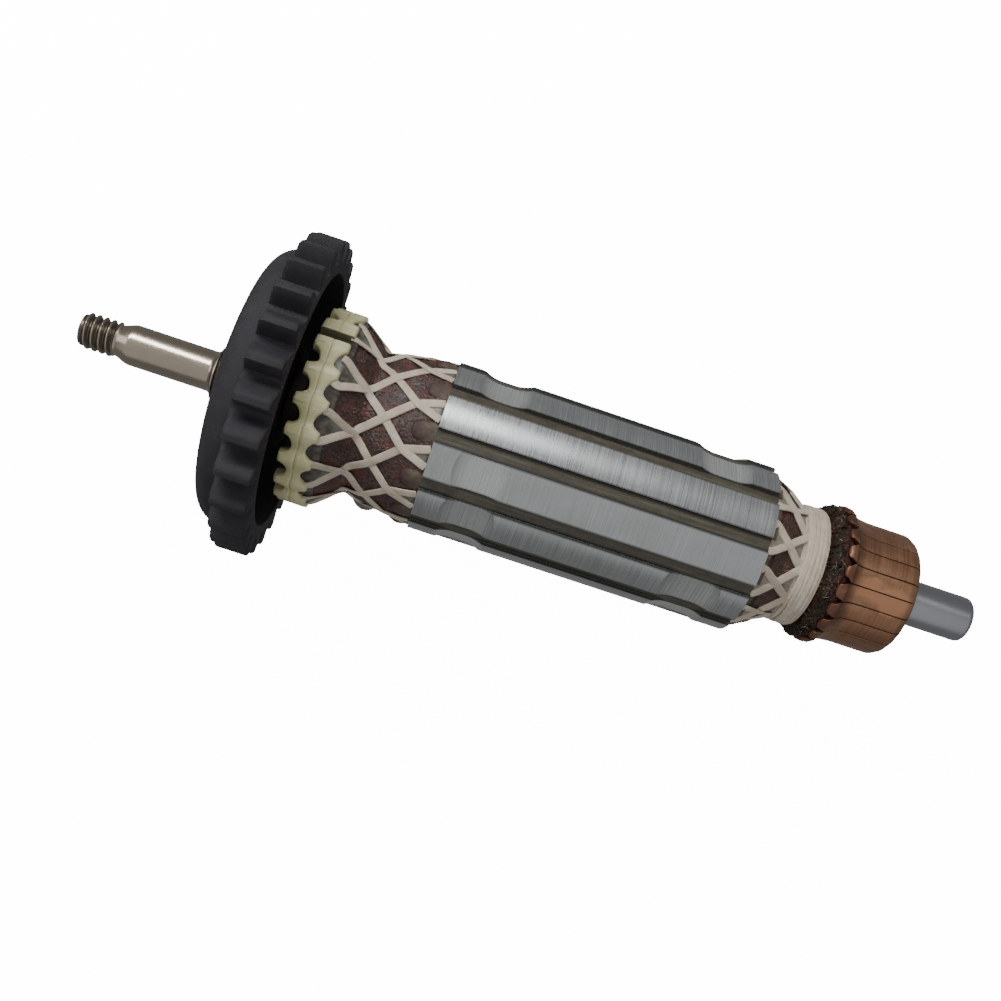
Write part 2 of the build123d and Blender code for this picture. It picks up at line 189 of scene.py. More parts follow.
def mesh_from_grids(name, grids, closed=True, smooth=70):
    """One object from grids of points in millimetres, each with its map of (u, v) and a tone.

    A grid is (points, uv, tone): points (rows, columns, 3), uv (rows, columns, 2). Rows and
    columns that meet are welded, so seams and poles are closed.
    """
    points, uvs, tones, faces, first = [], [], [], [], 0
    for place, uv, tone in grids:
        rows, columns = place.shape[:2]
        points.append(place.reshape(-1, 3))
        uvs.append(np.broadcast_to(uv, (rows, columns, 2)).reshape(-1, 2))
        tones.append(np.broadcast_to(tone, (rows, columns)).reshape(-1))
        faces.append(grid_faces(rows, columns, first))
        first += rows * columns
    points, uvs, tones, faces = map(np.concatenate, (points, uvs, tones, faces))
    mesh = bpy.data.meshes.new(name)
    mesh.vertices.add(len(points))
    mesh.vertices.foreach_set("co", (points * MM).astype(np.float32).ravel())
    mesh.loops.add(faces.size)
    mesh.loops.foreach_set("vertex_index", faces.astype(np.int32).ravel())
    mesh.polygons.add(len(faces))
    mesh.polygons.foreach_set("loop_start", np.arange(0, faces.size, 4, dtype=np.int32))
    mesh.update(calc_edges=True)
    uv_map = mesh.uv_layers.new(name="UVMap")
    uv_map.data.foreach_set("uv", uvs[faces.ravel()].astype(np.float32).ravel())
    tone_map = mesh.attributes.new("tone", "FLOAT", "POINT")
    tone_map.data.foreach_set("value", tones.astype(np.float32))
    weld(mesh, closed)
    mesh.polygons.foreach_set("use_smooth", np.ones(len(mesh.polygons), bool))
    mesh.set_sharp_from_angle(angle=math.radians(smooth))
    return linked(name, mesh)


def linked(name, data):
    """A new object in the scene."""
    thing = bpy.data.objects.new(name, data)
    bpy.context.scene.collection.objects.link(thing)
    return thing


def weld(mesh, closed):
    """Merges points that coincide, and turns a closed shell's faces outwards."""
    work = bmesh.new()
    work.from_mesh(mesh)
    bmesh.ops.remove_doubles(work, verts=work.verts, dist=2e-6)
    bmesh.ops.dissolve_degenerate(work, edges=work.edges, dist=1e-7)
    if closed:
        bmesh.ops.recalc_face_normals(work, faces=work.faces)
    work.to_mesh(mesh)
    work.free()


def dress(piece, finish, slot, *nodes):
    """Gives a piece its finish and lets it stand for CAD nodes on the one body."""
    cover(piece, finish)
    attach(piece, "root")
    if nodes:
        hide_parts(*nodes)


def cover(piece, finish):
    piece.data.materials.clear()
    piece.data.materials.append(finish)


def lathe(corners, columns, ripple=None):
    """Profile of (place, radius) corners carried round the shaft. ripple(x, turn) adds to the radius."""
    corners = np.array(corners, float)
    turn = full_turn(columns)
    place, radius = corners[:, :1], corners[:, 1:]
    if ripple is not None:
        radius = radius + ripple(place, turn) * (radius > 0)
    return about_shaft(place, radius, turn), together(place, turn / (2 * math.pi)), 0.5


def fill(corners, step):
    """The same polyline with points added so that no span is longer than step."""
    corners = np.array(corners, float)
    out = [corners[:1]]
    for a, b in zip(corners, corners[1:]):
        count = max(1, math.ceil(np.linalg.norm(b - a) / step))
        out.append(a + (b - a) * (np.arange(1, count + 1) / count)[:, None])
    return np.concatenate(out)


def softened(table_x, table_y, reach_x):
    """A polyline y(x) with its corners eased by averaging over reach_x, as a function."""
    step, margin = 0.05, 3
    x = np.arange(table_x[0] - margin, table_x[-1] + margin, step)
    y = np.interp(x, table_x, table_y)
    width = max(1, int(reach_x / step))
    kernel = np.hanning(2 * width + 3)[1:-1]
    padded = np.pad(y, width, mode="edge")
    eased = np.convolve(padded, kernel / kernel.sum(), mode="valid")
    return lambda q: np.interp(q, x, eased)


def unit(vectors):
    return vectors / np.linalg.norm(vectors, axis=-1, keepdims=True)


def carried(place, radius, turn, width, thickness, sides=12, square=0.55, tone=0.5):
    """Flat cord: a squashed ring of points carried along a path on the shaft, closed at both ends.

    At angle a the ring is width/2 cos(a) to the side and thickness/2 sin(a) outwards, each
    raised to a power that makes it squarer.
    """
    path = about_shaft(place, radius, turn)
    along = unit(np.gradient(path, axis=0))
    side = unit(np.cross(along, outward(turn)))
    rise = np.cross(side, along)
    angle = full_turn(sides)
    across = np.sign(np.cos(angle)) * np.abs(np.cos(angle)) ** square
    up = np.sign(np.sin(angle)) * np.abs(np.sin(angle)) ** square
    points = (
        path[:, None]
        + side[:, None] * across[:, None] * width / 2
        + rise[:, None] * up[:, None] * thickness / 2
    )
    length = np.concatenate([[0], np.cumsum(np.linalg.norm(np.diff(path, axis=0), axis=1))])
    first = np.broadcast_to(path[0], points[:1].shape)
    last = np.broadcast_to(path[-1], points[:1].shape)
    points = np.concatenate([first, points, last])
    length = np.concatenate([length[:1], length, length[-1:]])
    uv = together(length[:, None], angle / (2 * math.pi))
    return points, uv, tone


# Finishes


class Finish:
    """A node tree under construction, with the principled shader at its end."""

    def __init__(self, name, **constants):
        self.material = bpy.data.materials.new(name)
        self.material.use_nodes = True
        self.tree = self.material.node_tree
        self.shader = self.tree.nodes["Principled BSDF"]
        for key, value in constants.items():
            self.put(self.shader, key.replace("_", " "), value)
        self.place = self.add("ShaderNodeTexCoord").outputs["Object"]

    def put(self, node, socket, value):
        if isinstance(value, bpy.types.NodeSocket):
            self.tree.links.new(value, node.inputs[socket])
        elif isinstance(value, tuple) and len(value) == 3 and node.inputs[socket].type == "RGBA":
            node.inputs[socket].default_value = value + (1,)
        else:
            node.inputs[socket].default_value = value

    def add(self, kind, inputs=None, **settings):
        node = self.tree.nodes.new(kind)
        for key, value in settings.items():
            setattr(node, key, value)
        for socket, value in (inputs or {}).items():
            self.put(node, socket, value)
        return node

    def stretched(self, scale, source=None):
        """The place on the piece, scaled by one number or by one for each axis."""
        scale = scale if isinstance(scale, tuple) else (scale, scale, scale)
        inputs = {"Vector": source or self.place, "Scale": scale}
        return self.add("ShaderNodeMapping", inputs).outputs["Vector"]

    def noise(self, scale, detail=3.0, roughness=0.55, source=None):
        inputs = {"Vector": self.stretched(scale, source), "Scale": 1.0, "Detail": detail,
                  "Roughness": roughness}
        return self.add("ShaderNodeTexNoise", inputs).outputs["Fac"]

    def cells(self, scale):
        inputs = {"Vector": self.stretched(scale), "Scale": 1.0}
        return self.add("ShaderNodeTexVoronoi", inputs).outputs["Distance"]

    def between(self, value, low, high, to_low=0.0, to_high=1.0):
        inputs = {"Value": value, "From Min": low, "From Max": high, "To Min": to_low,
                  "To Max": to_high}
        return self.add("ShaderNodeMapRange", inputs).outputs["Result"]

    def swing(self, noise, low, high):
        """The usual range of a noise brought to low and high."""
        return self.between(noise, 0.3, 0.7, low, high)

    def maths(self, operation, a, b):
        return self.add("ShaderNodeMath", {0: a, 1: b}, operation=operation).outputs[0]

    def sum(self, a, b):
        return self.maths("ADD", a, b)

    def product(self, a, b):
        return self.maths("MULTIPLY", a, b)

    def blend(self, factor, first, second):
        """Colour that goes from first to second as factor goes from 0 to 1."""
        inputs = {0: factor, 6: first, 7: second}
        return self.add("ShaderNodeMix", inputs, data_type="RGBA").outputs[2]

    def along(self, axis):
        """Place on the piece on one axis, in metres."""
        return self.add("ShaderNodeSeparateXYZ", {"Vector": self.place}).outputs[axis]

    def tone(self):
        """The tone that the mesh carries."""
        return self.add("ShaderNodeAttribute", attribute_name="tone").outputs["Fac"]

    def from_slot(self):
        """Angle from the middle of the nearest slot, from 0 to half a slot pitch."""
        down = self.product(self.along("Y"), -1.0)
        turn = self.maths("ARCTAN2", down, self.along("Z"))
        turn = self.maths("SUBTRACT", turn, FIRST_TOOTH - 2 * SLOTS * SLOT_PITCH)
        turn = self.maths("MODULO", turn, SLOT_PITCH)
        return self.maths("ABSOLUTE", self.maths("SUBTRACT", turn, SLOT_PITCH / 2), 0.0)

    def radius(self):
        """Distance from the shaft axis, in metres."""
        y = self.maths("POWER", self.along("Y"), 2.0)
        z = self.maths("POWER", self.along("Z"), 2.0)
        return self.maths("POWER", self.sum(y, z), 0.5)

    def raised(self, height, distance, strength=1.0):
        """Bump from a height, with its depth in metres."""
        inputs = {"Height": height, "Distance": distance, "Strength": strength}
        self.put(self.shader, "Normal", self.add("ShaderNodeBump", inputs).outputs["Normal"])

    def colour(self, value):
        self.put(self.shader, "Base Color", value)

    def dullness(self, value):
        self.put(self.shader, "Roughness", value)


def shade(colour, factor):
    return tuple(min(1.0, c * factor) for c in colour)


def tint(colour, red, green, blue):
    return colour[0] * red, colour[1] * green, colour[2] * blue


def turned_steel(name, colour, dull=0.235):
    """Steel turned and polished round the shaft: fine rings, faint stains, painted shade in the thread roots,
    bluer at the rear stub.
    """
    finish = Finish(name, Metallic=1.0)
    rings = finish.noise((9000, 90, 90), detail=4)
    stain = finish.noise(140, detail=2)
    length = finish.along("X")
    rear = finish.between(length, 0.05, 0.11)
    front = finish.blend(stain, shade(colour, 0.8), shade(colour, 1.2))
    # Painted shade: the roots of the thread, below a radius, are darkened almost to black.
    deep = finish.between(finish.radius(), 0.0026, 0.0031, 0.85, 0.0)
    on_thread = finish.between(length, -0.0176, -0.0172, 1.0, 0.0)
    painted_root_shade = finish.product(deep, on_thread)
    front = finish.blend(painted_root_shade, front, shade(colour, 0.12))
    finish.colour(finish.blend(rear, front, (0.30, 0.305, 0.33)))
    dull_rear = finish.between(rear, 0, 1, 0.0, 0.10)
    dull_thread = finish.between(length, -0.0172, -0.0166, 0.15, 0.0)
    base_dull = finish.swing(rings, dull - 0.03, dull + 0.04)
    finish.dullness(finish.sum(finish.sum(base_dull, dull_rear), dull_thread))
    finish.raised(rings, 0.000001, 0.2)
    return finish.material


def ground_core(name, colour, varnish):
    """Ground laminated steel outside, with painted shade along the tooth edges beside the slots; varnish on
    the slot walls and the end faces.
    """
    finish = Finish(name)
    streaks = finish.noise((7000, 60, 60), detail=5, roughness=0.7)
    layers = finish.noise((2000, 4, 4), detail=1)
    stain = finish.noise((110, 260, 260), detail=3)
    steel = finish.blend(finish.swing(streaks, 0, 1), shade(colour, 0.78), shade(colour, 1.2))
    stained = finish.between(stain, 0.4, 0.75, 0.0, 0.4)
    steel = finish.blend(stained, steel, tint(colour, 0.74, 0.78, 0.70))
    # Painted shade: the steel darkens along the tooth edges beside each slot.
    painted_slot_shade = finish.between(finish.from_slot(), 0.085, 0.105, 0.8, 0.0)
    steel = finish.blend(painted_slot_shade, steel, shade(colour, 0.22))
    outside = finish.between(finish.radius(), 0.0132, 0.0136)
    dip = finish.between(finish.radius(), 0.0140, 0.01468, 0.3, 0.0)
    steel = finish.blend(dip, steel, tint(colour, 1.02, 1.1, 0.96))
    finish.colour(finish.blend(outside, varnish, steel))
    metal = finish.maths("SUBTRACT", finish.between(outside, 0, 1, 0.0, 0.84), dip)
    finish.put(finish.shader, "Metallic", finish.between(metal, 0, 1))
    finish.dullness(finish.swing(streaks, 0.21, 0.41))
    finish.raised(finish.sum(streaks, finish.product(layers, 0.6)), 0.000007, 0.3)
    return finish.material


def matt_moulding(name, colour, dull):
    """Moulded plastic with a fine grain and faint dust."""
    finish = Finish(name, Specular_IOR_Level=0.32)
    dust = finish.noise(420, detail=4)
    grains = finish.noise(9000, detail=2)
    finish.colour(finish.blend(finish.between(dust, 0.45, 0.75, 0, 0.6), colour, shade(colour, 1.9)))
    finish.dullness(finish.swing(dust, dull - 0.06, dull + 0.08))
    finish.raised(grains, 0.00001, 0.6)
    return finish.material


def cream_moulding(name, colour):
    """Waxy cream plastic with greenish patches; painted shade, near black, inside the ring below a radius,
    and dark olive painted shade where tone is low.
    """
    finish = Finish(name, Subsurface_Weight=0.12, Subsurface_Scale=0.002)
    patches = finish.noise(330, detail=3)
    grains = finish.noise(5000, detail=2)
    base = finish.blend(finish.between(patches, 0.35, 0.7), colour, tint(colour, 0.82, 0.86, 0.72))
    # Painted shade: near black where the radius is small, on the inside, the web and the deepest hollows of
    # the ring.
    painted_inner_shade = finish.between(finish.radius(), 0.0143, 0.0152, 1.0, 0.0)
    tone = finish.tone()
    # Painted shade: dark olive where tone is low, which the ring's key notch carries.
    base = finish.blend(finish.between(tone, 0, 0.45, 0.85, 0.0), base, (0.085, 0.072, 0.042))
    finish.colour(finish.blend(painted_inner_shade, base, (0.008, 0.007, 0.005)))
    dull = finish.swing(patches, 0.36, 0.5)
    finish.dullness(finish.sum(dull, finish.product(painted_inner_shade, 0.5)))
    finish.raised(grains, 0.00002, 0.5)
    return finish.material


def insulating_film(name, colour, dull=0.34, in_slot=False, tip=None, tip_at=(0.0352, 0.0377)):
    """Thin film with soft wrinkles.

    In a slot it carries painted shade at the walls. A tip is another colour, which it turns to where X falls
    from the second to the first place of tip_at, in metres.
    """
    finish = Finish(name)
    wrinkle = finish.noise((500, 900, 900), detail=4)
    fine = finish.noise(3000, detail=2)
    base = finish.blend(finish.between(wrinkle, 0.35, 0.7), shade(colour, 0.8), shade(colour, 1.25))
    if in_slot:
        streak = finish.noise((60, 2600, 2600), detail=2)
        base = finish.blend(finish.between(streak, 0.52, 0.66, 0, 0.55), base, (0.088, 0.086, 0.062))
        # Painted shade: the film darkens towards the slot walls.
        painted_wall_shade = finish.between(finish.from_slot(), 0.042, 0.072, 0.0, 0.9)
        base = finish.blend(painted_wall_shade, base, shade(colour, 0.14))
    if tip is not None:
        length = finish.along("X")
        reached = finish.sum(length, finish.swing(wrinkle, -0.0007, 0.0007))
        base = finish.blend(finish.between(reached, *tip_at, 1.0, 0.0), base, tip)
    finish.colour(base)
    finish.dullness(finish.swing(fine, dull - 0.06, dull + 0.14))
    finish.raised(wrinkle, 0.00015, 0.6)
    return finish.material


def lacing_cord(name, colour):
    """Flat spun cord: slanting fibres along its own map, with varnish stains."""
    finish = Finish(name, Sheen_Weight=0.15)
    cloth = finish.add("ShaderNodeUVMap", uv_map="UVMap").outputs["UV"]
    slant = finish.add("ShaderNodeMapping", {"Vector": cloth, "Rotation": (0, 0, 0.5)}).outputs["Vector"]
    wave = finish.add(
        "ShaderNodeTexWave",
        {"Vector": slant, "Scale": 5.0, "Distortion": 2.0, "Detail": 2.0, "Detail Scale": 2.0},
    ).outputs["Fac"]
    stain = finish.noise(420, detail=3)
    fibre = finish.noise((2, 26, 1), detail=3, source=cloth)
    tone = finish.tone()
    base = finish.blend(finish.between(stain, 0.38, 0.72), colour, tint(colour, 0.74, 0.69, 0.62))
    base = finish.blend(finish.between(fibre, 0.35, 0.65, 0.3, 0.0), base, shade(colour, 0.7))
    base = finish.blend(finish.between(tone, 0, 1, 0.35, 0.0), base, (0.26, 0.23, 0.19))
    finish.colour(base)
    finish.dullness(0.62)
    finish.raised(finish.sum(finish.product(wave, 0.4), fibre), 0.00005, 0.7)
    return finish.material


def varnished_coil(name, colour, fine=2600.0, end=None, gloss=0.5):
    """Dark red-brown enamelled wire ends under lumpy varnish, with pale specks and red patches.

    Towards the commutator it turns to the colour end.
    """
    finish = Finish(name, Coat_Weight=0.12 * gloss, Coat_Roughness=0.35, Specular_IOR_Level=gloss)
    lumps = finish.cells(fine)
    patches = finish.noise(420, detail=3)
    specks = finish.noise(fine * 1.5, detail=2, roughness=0.7)
    where = finish.noise(260, detail=2)
    base = finish.blend(finish.between(lumps, 0.1, 0.75), shade(colour, 1.5), shade(colour, 0.3))
    red = finish.between(patches, 0.5, 0.68, 0, 0.7)
    base = finish.blend(red, base, tint(colour, 2.4, 1.0, 1.1))
    bright = finish.product(
        finish.between(specks, 0.56, 0.70), finish.between(where, 0.52, 0.68, 0.06, 0.95))
    base = finish.blend(bright, base, (0.34, 0.23, 0.17))
    if end is not None:
        length = finish.along("X")
        reached = finish.sum(length, finish.swing(patches, -0.0009, 0.0009))
        base = finish.blend(finish.between(reached, 0.1074, 0.1090, 0.0, 0.9), base, end)
    finish.colour(base)
    finish.dullness(finish.swing(patches, 0.4, 0.62))
    finish.raised(finish.maths("SUBTRACT", 1.0, lumps), 0.00015, 0.8)
    return finish.material


def worn_copper(name, colour):
    """Copper bars with brush tracks round them, pale rubbed patches, painted shade at the slits and under the
    bars, and a painted highlight along the top of the bars.
    """
    finish = Finish(name)
    tracks = finish.noise((5200, 40, 40), detail=4, roughness=0.65)
    patches = finish.noise((150, 210, 210), detail=3)
    length = finish.along("X")
    tone = finish.tone()
    base = finish.blend(finish.swing(tracks, 0, 1), shade(colour, 0.74), shade(colour, 1.2))
    pale = finish.between(patches, 0.48, 0.72, 0, 0.7)
    base = finish.blend(pale, base, tint(colour, 1.55, 1.75, 1.8))
    stained = finish.sum(length, finish.swing(patches, -0.0012, 0.0012))
    base = finish.blend(finish.between(stained, 0.109, 0.1125, 0.75, 0.0), base, (0.085, 0.038, 0.028))
    # Painted highlight: a pale stripe along the top of the bars, on the bodies past the tangs.
    side = finish.maths("ABSOLUTE", finish.sum(finish.along("Y"), 0.0004), 0.0)
    side = finish.sum(side, finish.between(patches, 0.35, 0.65, -0.0016, 0.0016))
    on_top = finish.between(finish.along("Z"), 0, 0.004)
    painted_top_highlight = finish.product(finish.between(side, 0.0013, 0.0026, 0.85, 0.0), on_top)
    painted_top_highlight = finish.product(painted_top_highlight, finish.between(stained, 0.1100, 0.1125))
    base = finish.blend(painted_top_highlight, base, tint(colour, 1.8, 1.78, 1.75))
    # Painted shade: darker on the bar sides at the slits and low under the bars, where the bar's tone is low.
    base = finish.blend(finish.between(tone, 0, 1, 0.72, 0), base, tint(colour, 0.32, 0.2, 0.2))
    finish.colour(base)
    finish.put(finish.shader, "Metallic", finish.swing(patches, 0.85, 0.7))
    finish.dullness(finish.swing(tracks, 0.34, 0.5))
    finish.raised(tracks, 0.000018, 0.6)
    return finish.material


# Pieces


THREAD_END = -17.3


def shaft_profile():
    """Turned outline of the shaft from its thread to the rear stub."""
    return [
        (SHAFT_START, 0), (SHAFT_START, 1.9), (SHAFT_START + 0.25, 2.55), (SHAFT_START + 0.7, 2.95),
        (SHAFT_START + 1.2, 3.12), (THREAD_END - 0.2, 3.12), (THREAD_END, 2.75), (-17.0, 2.66),
        (-16.8, 2.74), (-15.2, 3.38), (-14.8, 3.48), (-14.5, 3.5), (-0.95, 3.5), (-0.5, 3.66),
        (-0.15, 4.1), (0.02, 4.52), (0.25, 4.6), (0.45, 4.5), (0.62, 4.38), (0.8, 4.6), (0.95, 4.68),
        (FAN_START - 0.05, 4.68), (FAN_START, 4.7),
        (BODY_END + 0.08, 4.7), (BODY_END + 0.1, 4.0), (SHAFT_END - 1.0, 4.0), (SHAFT_END - 0.5, 3.88),
        (SHAFT_END - 0.18, 3.6), (SHAFT_END, 3.1), (SHAFT_END, 0),
    ]


class BuildShaft(bpy.types.Operator):
    """Builds the turned shaft with its helical thread"""

    bl_idname = "armature.build_shaft"
    bl_label = "Shaft"

    def execute(self, context):
        pitch, depth = sizes().thread_pitch, sizes().thread_depth

        def thread(place, turn):
            """Rounded V cut that climbs one pitch a turn, fading in and out at the ends."""
            phase = (place / pitch - turn / (2 * math.pi)) % 1.0
            cut = (0.5 + 0.5 * np.cos(2 * math.pi * phase)) ** 0.85
            fade = np.clip((place - SHAFT_START - 0.2) / 0.8, 0, 1)
            return -depth * cut * fade * np.clip((THREAD_END - place) / 0.5, 0, 1)

        profile = np.array(shaft_profile())
        fine = fill(profile[profile[:, 0] < -16], 0.07)
        rest = profile[profile[:, 0] >= -16]
        turned = lathe(np.concatenate([fine, rest]), 128, thread)
        piece = mesh_from_grids("steel_shaft", [turned], smooth=35)
        dress(piece, turned_steel("shaft_steel", colour_of("steel")), "shaft_steel", "shaft")
        return {"FINISHED"}


class BuildFan(bpy.types.Operator):
    """Builds the black cooling fan with its lobed rim"""

    bl_idname = "armature.build_fan"
    bl_label = "Cooling fan"

    def execute(self, context):
        lobes, height = sizes().fan_lobes, sizes().lobe_height
        steps = 24
        turn = full_turn(lobes * steps)
        share = (turn * lobes / (2 * math.pi) + 0.25) % 1.0
        climb = np.clip(share / 0.58, 0, 1)
        drop = np.clip((share - 0.70) / 0.2, 0, 1)
        crown = height * (0.5 - 0.5 * np.cos(math.pi * climb)) * (0.5 + 0.5 * np.cos(math.pi * drop))
        plate, corner, root, rim = 4.2, 4.2, 24.1, FAN_END
        lobe_start = rim - 6.3
        inner = root - 1.9
        hub, bore = 8.5, 4.75
        shoulder = [
            (plate + corner * (1 - math.cos(a)), root - corner + corner * math.sin(a), 0)
            for a in np.linspace(0.0, math.pi / 2, 10)
        ]
        outline = (
            [(FAN_START, bore, 0), (FAN_START, hub - 0.2, 0), (FAN_START + 0.15, hub, 0),
             (plate - 0.3, hub, 0), (plate, hub + 0.4, 0)]
            + shoulder
            + [(lobe_start - 0.1, root, 0), (lobe_start, root, 0.1), (lobe_start + 0.12, root, 0.55),
               (lobe_start + 0.35, root, 0.86), (lobe_start + 0.7, root, 0.97), (lobe_start + 1.1, root, 1.0),
               (rim - 0.5, root, 1.0), (rim - 0.2, root, 0.97), (rim - 0.03, root, 0.9),
               (rim, root, 0.82), (rim, root - 0.1, 0), (rim, inner + 0.15, 0), (rim - 0.15, inner, 0),
               (10.2, inner, 0), (7.6, inner - 0.9, 0), (6.2, inner - 2.4, 0), (5.9, inner - 4.5, 0),
               (5.9, hub + 0.6, 0), (6.4, hub, 0), (FAN_END - 1.9, hub, 0), (FAN_END - 1.7, hub - 0.2, 0),
               (FAN_END - 1.7, bore, 0), (FAN_START, bore, 0)]
        )
        place, radius, raised = np.array(outline).T[:, :, None]
        piece = mesh_from_grids("black_fan", [sheet(place, radius + raised * crown, turn)], smooth=36)
        dress(piece, matt_moulding("fan_plastic", colour_of("fan"), 0.74), "fan_plastic", "cooling_fan")
        return {"FINISHED"}


KEY_TURN = math.radians(-44.5)


class BuildRing(bpy.types.Operator):
    """Builds the cream ring with scallops on one edge and the openings for the cord on the other"""

    bl_idname = "armature.build_ring"
    bl_label = "Lacing ring"

    def execute(self, context):
        count = sizes().ring_lobes
        outer = reach("lacing_ring")
        inner = outer - 2.4
        columns = 720
        turn = full_turn(columns)
        step = 2 * math.pi / count
        lobe = ((turn - KEY_TURN) / step + 0.5) % 1.0 - 0.5
        steep, gradual = 1.4, 0.78
        away = np.where(lobe > 0, steep, gradual) * np.abs(lobe) * step * outer
        is_key = np.abs((turn - KEY_TURN + math.pi) % (2 * math.pi) - math.pi) < step / 2
        scallop = 1.6 * np.sqrt(np.clip(1 - (away / 1.7) ** 2, 0, 1)) * ~is_key
        opening = 1.45 * np.clip(1 - (away / 1.9) ** 2, 0, 1) ** 0.8 * ~is_key
        notch_depth, notch_half, notch_offset = 1.9, 0.95, 0.35
        from_notch = np.abs(lobe * step * outer - notch_offset)
        notch = np.clip((notch_half - from_notch) / 0.12, 0, 1) * is_key
        left = RING_START + scallop
        right = RING_END - opening
        seam = (RING_START + RING_END) / 2
        share = np.array([0, 0.03, 0.1, 0.25, 0.42, 0.6, 0.8, 1.0])[:, None]
        x_out = np.concatenate([
            part_way(left, seam - 0.13, share),
            np.array([seam - 0.05, seam, seam + 0.05])[:, None] * np.ones_like(turn),
            seam + 0.13 + (right - seam - 0.13) * (1 - share[::-1]),
        ])
        rounded = [0.5, 0.2, 0.05, 0, 0, 0, 0, 0]
        edge = np.array(rounded + [0.06, 0.2, 0.06] + rounded[::-1])[:, None]
        bowl = 0.75 * np.exp(-((x_out - RING_START) ** 2 + away**2) / 1.9**2) * ~is_key
        bowl = bowl + 0.35 * np.exp(-((x_out - RING_END) ** 2 + away**2) / 1.6**2) * ~is_key
        waist = 0.7 * np.exp(-((away / 1.3) ** 2)) * ~is_key
        r_out = outer - edge - notch_depth * notch - bowl - waist
        inside = np.array([0.0, 0.06, 0.5, 0.94, 1.0])[::-1]
        x_in = part_way(left, right, inside[:, None])
        r_in = np.full_like(x_in, inner)
        r_in[0] += 0.3
        r_in[-1] += 0.3
        place = np.concatenate([x_out, x_in, x_out[:1]])
        points = about_shaft(place, np.concatenate([r_out, r_in, r_out[:1]]), turn)
        uv = together(np.arange(len(points))[:, None], turn)
        # Tone for the finish: low in the key notch, where the finish paints shade.
        notch_unshaded = np.clip((from_notch - notch_half - 0.1) / 0.1, 0, 1) + ~is_key
        hub, bore, half_web = 7.5, 5.85, 0.9
        disc = lathe(
            [(RING_START + 0.1, bore), (RING_END - 0.1, bore), (RING_END - 0.1, hub),
             (seam + half_web, hub + 0.1), (seam + half_web, inner + 0.3), (seam - half_web, inner + 0.3),
             (seam - half_web, hub + 0.1), (RING_START + 0.1, hub), (RING_START + 0.1, bore)], 96)
        piece = mesh_from_grids("cream_ring", [(points, uv, notch_unshaded), disc], smooth=40)
        dress(piece, cream_moulding("ring_plastic", colour_of("ring")), "ring_plastic", "lacing_ring")
        return {"FINISHED"}


NET_ROWS = [NET_START + row for row in (4.2, 8.3, 12.4)]
RING_SPREAD = math.radians(8.2)
CORE_SPREAD = math.radians(6.0)
NET_RADIUS = softened(
    [NET_START - 1.2, NET_START, NET_START + 5.2, NET_START + 7.6, NET_END, NET_END + 1.0],
    [16.5, 16.35, 12.3, 13.2, 14.25, 14.3], 0.9)

BAND_WIDTH, BAND_RADIUS = 4.0, 9.95
BAND_START = BAND_END - BAND_WIDTH
REAR_ROWS = [CORE_END + 3.75, BAND_START + 0.2]
REAR_RADIUS = softened(
    [CORE_END - 0.2, CORE_END + 0.6, BAND_START, BAND_END], [13.9, 13.75, BAND_RADIUS, 9.9], 0.5)
REAR_PHASE = math.radians(3.0)


def net(chance, first_turn, places, offsets, radius_of, rows, lift, widths, count):
    """Both families of a net's strands, lying on a turned outline.

    A strand passes each of the places at its offset from a middle turn. At the rows it rises over
    the other family and falls under it in turn.
    """
    width, thickness = sizes().cord_width, sizes().cord_thickness
    place = part_way(places[0], places[-1], np.linspace(0, 1, count))
    grids = []
    for k in range(SLOTS):
        for way in (1, -1):
            turns = first_turn + SLOT_PITCH * k + way * np.array(offsets)
            turns = turns + chance.normal(0, 0.008, len(offsets))
            turn = softened(places, turns, 1.0)(place)
            turn[0], turn[-1] = turns[0], turns[-1]
            rise = sum(
                way * (-1) ** index * lift * np.exp(-(((place - row) / 1.1) ** 2))
                for index, row in enumerate(rows))
            grids.append(carried(
                place, radius_of(place) + rise, turn, width * chance.uniform(*widths), thickness,
                tone=chance.uniform(0.55, 1.0)))
    return grids


class BuildFrontLacing(bpy.types.Operator):
    """Builds the two families of crossing cords between the ring and the core"""

    bl_idname = "armature.build_front_lacing"
    bl_label = "Front lacing"

    def execute(self, context):
        places = [RING_END - 0.5, NET_START + 0.2, *NET_ROWS, CORE_START - 0.05]
        offsets = [
            -RING_SPREAD, -RING_SPREAD, 0, SLOT_PITCH / 2, SLOT_PITCH, SLOT_PITCH + CORE_SPREAD]
        grids = net(
            np.random.default_rng(5), FIRST_TOOTH, places, offsets, lambda x: NET_RADIUS(x) - 0.1,
            NET_ROWS, 0.12, (0.92, 1.08), 80)
        piece = mesh_from_grids("front_cords", grids)
        dress(piece, lacing_cord("cord", colour_of("cord")), "cord", "front_lacing")
        return {"FINISHED"}


def film_patch(middle, places, half_turns, radius_of):
    """Sheet about a line at one turn: at each place it reaches half_turns to both sides."""
    places = places[:, None]
    across = np.linspace(-1, 1, 9)
    return sheet(places, radius_of(places, across), middle + half_turns[:, None] * across)


def film_piece(name, grids, wall):
    """Open sheets made one piece with a thin wall, in millimetres."""
    piece = mesh_from_grids(name, grids, closed=False)
    skin = piece.modifiers.new("wall", "SOLIDIFY")
    skin.thickness = wall * MM
    skin.offset = 0
    return piece


